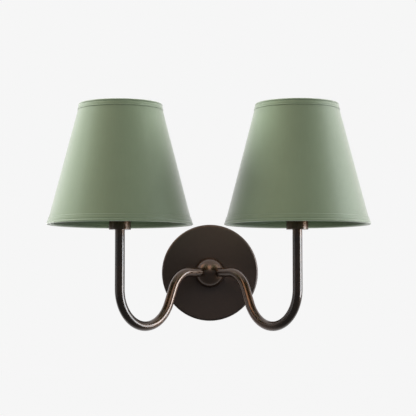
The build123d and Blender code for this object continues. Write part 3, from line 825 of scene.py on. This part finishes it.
# %% Sizes of the threads
CAP_PITCH = 2.54 * MM
CAP_DEPTH = 0.42 * MM
CAP_WALL = 0.3 * MM
CAP_RIM = 0.2 * MM
CAP_PLAIN = 3 * MM
DISC_HEIGHT = 3 * MM
DISC_FOOT_R = 2.2 * MM
DISC_HOLE_R = 0.6 * MM
DISC_CHAMFER = 0.4 * MM
DISC_EDGE = 0.5 * MM
DISC_TOP_EDGE = 0.7 * MM
HOLDER_PITCH = 1.5 * MM
HOLDER_CREST = 0.4 * MM
RING_NUT_GAP = 0.2 * MM
THREAD_BELOW_RIM = 0.9 * MM
SLEEVE_OUT = 0.02 * MM
SLEEVE_IN = 0.01 * MM
THREAD_FADE = 0.6
THREAD_REACH = 0.1 * MM
THREAD_TURNS = 72
STEPS_A_PITCH = 8


# %% Helpers for threads
def thread_relief(bottom, top, pitch, depth, outside_of):
    """Cuts a thread into what lies outside a radius. A depth below zero raises one instead."""

    def relief(angle, radius, height):
        if radius < outside_of or not bottom <= height <= top:
            return 0, 0
        fade = min(1.0, min(height - bottom, top - height) / (THREAD_FADE * pitch))
        turns = height / pitch - angle / (2 * pi)
        return -depth * fade * (0.5 + 0.5 * cos(2 * pi * turns)), 0

    return relief


def climb(radius, bottom, top, step):
    """Points up a straight wall, close enough together for a thread."""
    count = max(1, round((top - bottom) / step))
    return [(radius, bottom + (top - bottom) * index / count) for index in range(count + 1)]


# %% Make the lamps' caps
def make_cap(side):
    """The lamp's cap: a thin shell with a rolled thread, and the dark glass that closes it."""
    low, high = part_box(f"bulb_cap_{side}")
    centre = cones[side]["centre"]
    radius = (high.x - low.x) / 2
    disc_top = low.z + DISC_HEIGHT
    inside_r = radius - CAP_DEPTH - CAP_WALL
    wall = climb(radius, disc_top, high.z - CAP_RIM, CAP_PITCH / STEPS_A_PITCH)
    rest = [(radius - CAP_RIM, high.z), (inside_r, high.z), (inside_r, disc_top)]
    relief = thread_relief(disc_top, high.z - CAP_PLAIN, CAP_PITCH, CAP_DEPTH, radius - THREAD_REACH)
    cap = turned(f"threaded_cap_{side}", wall + rest, centre, even_angles(THREAD_TURNS), relief)
    place_piece(cap, f"lamp_{side}", "lamp_cap", f"bulb_cap_{side}")
    disc = [
        (DISC_HOLE_R, low.z), (DISC_FOOT_R, low.z), (radius - DISC_EDGE, disc_top - DISC_CHAMFER),
        (radius - DISC_TOP_EDGE, disc_top), (DISC_HOLE_R, disc_top),
    ]
    insulator = turned(f"cap_insulator_{side}", disc, centre, even_angles(THREAD_TURNS // 2))
    place_piece(insulator, f"lamp_{side}", "holder_black")
    print(f"{cap.name}: {radius / MM:.1f} mm in radius, {(high.z - low.z) / MM:.1f} mm high")


# %% Make the holders' threads
def make_holder_thread(side):
    """The holder's moulded thread, where it stands free above the ring nut."""
    holder = frame["nodes"][f"holder_body_{side}"]
    centre = cones[side]["centre"]
    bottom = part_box(f"shade_nut_{side}")[1].z + RING_NUT_GAP
    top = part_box(f"holder_body_{side}")[1].z - THREAD_BELOW_RIM
    above = [vertex.co for vertex in holder.data.vertices if vertex.co.z > bottom]
    skirt_r = max(hypot(place.x - centre.x, place.y - centre.y) for place in above)
    wall = climb(skirt_r + SLEEVE_OUT, bottom, top, HOLDER_PITCH / STEPS_A_PITCH)
    inside = [(skirt_r - SLEEVE_IN, top), (skirt_r - SLEEVE_IN, bottom)]
    relief = thread_relief(bottom, top, HOLDER_PITCH, -HOLDER_CREST, skirt_r)
    thread = turned(f"holder_thread_{side}", wall + inside, centre, even_angles(THREAD_TURNS), relief)
    place_piece(thread, "fixture", "holder_black")
    print(f"{thread.name}: {(top - bottom) / HOLDER_PITCH:.1f} turns on a radius of {skirt_r / MM:.1f} mm")


for side in SIDES:
    make_cap(side)
    make_holder_thread(side)

# %% [markdown]
# ## Background
#
# The photograph shows the light before plain pale grey. A curved studio wall could stand behind it,
# but that would also cover the light's back in other views. So the world itself is pale, and a pale
# floor far below closes the view. To the camera the floor has nearly the colour of the background,
# so no horizon shows. The metal doesn't mirror it, because the photograph shows the undersides of the
# tubes dark.

# %% Floor
BACKGROUND = (0.922, 0.922, 0.922, 1)
FLOOR_DROP = 1.3
FLOOR_SIZE = 40.0
FLOOR_COLOURS = ((0.8, 0.8, 0.8, 1), (0.82, 0.82, 0.82, 1))
FLOOR_SHARE = 0.97
FLOOR_GLOW = 1.01


def make_floor_material():
    """A matt floor. Most of what the camera sees of it is its own even glow."""
    material, tree, shader = start_material("pale floor", Roughness=0.9, Specular_IOR_Level=0.1)
    clouds = use_group(tree, patina, {"Scale": 2.0, "Low": 0.2, "High": 0.8})["Mask"]
    feed(tree, shader.inputs["Base Color"], blend(tree, clouds, *FLOOR_COLOURS))
    glow = node(tree, "Emission", {"Color": BACKGROUND, "Strength": FLOOR_GLOW})
    seen = node(tree, "LightPath", {}, output="Is Camera Ray")
    share = calc(tree, "MULTIPLY", seen, FLOOR_SHARE)
    mixed = node(tree, "MixShader", {0: share, 1: shader.outputs[0], 2: glow})
    feed(tree, tree.nodes["Material Output"].inputs["Surface"], mixed)
    return material


def make_floor():
    """One large square, well below the light."""
    low = made_box[0].z - FLOOR_DROP
    half = FLOOR_SIZE / 2
    corners = [(-half, -half, low), (half, -half, low), (half, half, low), (-half, half, low)]
    mesh = bpy.data.meshes.new("floor")
    mesh.from_pydata(corners, [], [(0, 1, 2, 3)])
    floor_piece = bpy.data.objects.new("floor", mesh)
    scene.collection.objects.link(floor_piece)
    floor_piece.visible_glossy = False
    mesh.materials.append(make_floor_material())


make_floor()
print("floor", FLOOR_DROP, "m below the lowest point")

# %% [markdown]
# ## The room around
#
# Metal shows what stands round it. A photographer puts up boards and cloths for that, and the same
# could be done here with meshes. Painting the world in a few soft bands does it with less. To the
# camera it is plain. To the metal it is pale behind the object, dim in front and grey overhead, with
# a warm band high up in front, which gives the bends their brown. The cloth only takes a soft fill
# from it, stronger from the pale wall behind than from the front.

# %% World
# Each pair is where a change starts and where it ends. Directions run from -1 to 1: across to the
# right, depth towards the wall, and up.
FILL_FRONT = 0.55
FILL_BEHIND = 1.2
FILL_CHANGE = (0.0, 0.6)
ROOM_DARK = 0.1
ROOM_TOP = 0.5
ROOM_BEHIND = 1.0
TOP_CHANGE = (-0.1, 0.7)
BEHIND_CHANGE = (0.0, 0.8)
WARM_LEVEL = 1.5
WARM_LIGHT = (1, 0.6, 0.36, 1)
WARM_STARTS = (0.3, 0.5)
WARM_ENDS = (0.7, 0.9)
WARM_IN_FRONT = (-0.2, 0.1)
WARM_AT_LEFT = (-0.2, 0.2)
WARM_RIGHT_SHARE = 0.5


def make_world():
    """Pale for the camera, a room for mirrors and a soft fill for everything else."""
    world = bpy.data.worlds.new("studio")
    world.use_nodes = True
    scene.world = world
    tree = world.node_tree
    path = tree.nodes.new("ShaderNodeLightPath").outputs
    across, depth, up = split_of(tree, node(tree, "TexCoord", {}, output="Generated"))
    warm = calc(tree, "MULTIPLY", spread(tree, up, *WARM_STARTS), spread(tree, up, *WARM_ENDS, 1.0, 0.0))
    warm = calc(tree, "MULTIPLY", warm, spread(tree, depth, *WARM_IN_FRONT, 1.0, 0.0))
    warm = calc(tree, "MULTIPLY", warm, spread(tree, across, *WARM_AT_LEFT, 1.0, WARM_RIGHT_SHARE))
    grey = spread(tree, up, *TOP_CHANGE, ROOM_DARK, ROOM_TOP)
    front = calc(tree, "ADD", grey, calc(tree, "MULTIPLY", warm, WARM_LEVEL))
    room = spread(tree, depth, *BEHIND_CHANGE, front, ROOM_BEHIND)
    mirrored = calc(tree, "MAXIMUM", path["Is Glossy Ray"], path["Is Transmission Ray"])
    fill = spread(tree, depth, *FILL_CHANGE, FILL_FRONT, FILL_BEHIND)
    plain = calc(tree, "MULTIPLY", path["Is Diffuse Ray"], fill)
    level = calc(tree, "MAXIMUM", calc(tree, "MULTIPLY", mirrored, room), plain)
    level = calc(tree, "MAXIMUM", path["Is Camera Ray"], level)
    tint = blend(tree, calc(tree, "MULTIPLY", warm, mirrored), BACKGROUND, WARM_LIGHT)
    feed(tree, tree.nodes["Background"].inputs["Color"], tint)
    feed(tree, tree.nodes["Background"].inputs["Strength"], level)


make_world()
print("world painted with", len(scene.world.node_tree.nodes), "nodes")

# %% [markdown]
# ## Lamps
#
# The object was lit from both sides by wide, even panels, so the shades are bright at their sides and
# darker in front. One set of lamps for everything would be simpler, but such wide panels flood the
# tubes with white. So they light the cloth only. The metal mirrors two windows instead, and the one
# at the right draws the thin bright line down each tube. A panel overhead lights the upper edges.

# %% Lamp table
MIDDLE = Vector((0, -0.12, 0.07))
WHITE = (1, 1, 1)
COOL = (0.88, 0.97, 1.05)
# Each row has a name, the turn to the right of the camera and the rise in degrees, the distance, the
# width and the height in metres, the power in watts, what shows its light, and its colour.
PANELS = (
    ("left panel", -103, 28, 1.7, 1.0, 0.8, 53, "cloth", WHITE),
    ("right panel", 107, 28, 1.7, 1.0, 0.8, 35, "cloth", WHITE),
    ("right window", 82, 0, 1.6, 0.9, 1.1, 23, "mirrors", COOL),
    ("left window", -74, 4, 1.6, 0.5, 1.4, 1.4, "mirrors", COOL),
    ("top panel", 8, 60, 2.3, 1.6, 0.8, 14, "cloth", WHITE),
)


# %% Hang the lamps
def around(turn, rise, distance):
    """A place seen from the middle of the light: turn is to the right of the camera, rise is up."""
    turn, rise = radians(turn), radians(rise)
    return MIDDLE + distance * Vector((sin(turn) * cos(rise), -cos(turn) * cos(rise), sin(rise)))


def add_panel(name, turn, rise, distance, width, height, watts, shown_by, colour):
    """A flat lamp that faces the middle of the light."""
    data = bpy.data.lights.new(name, "AREA")
    data.shape = "RECTANGLE"
    data.size = width
    data.size_y = height
    data.energy = watts
    data.color = colour
    lamp = bpy.data.objects.new(name, data)
    lamp.location = around(turn, rise, distance)
    lamp.rotation_euler = (MIDDLE - lamp.location).to_track_quat("-Z", "Y").to_euler()
    lamp.visible_glossy = shown_by == "mirrors"
    lamp.visible_diffuse = shown_by == "cloth"
    scene.collection.objects.link(lamp)


for row in PANELS:
    add_panel(*row)
print("lamps:", ", ".join(lamp.name for lamp in bpy.data.lights))

# %% [markdown]
# ## Finish
#
# Colours are shown as they are written, without a film look.

# %% Colours
scene.view_settings.view_transform = "Standard"
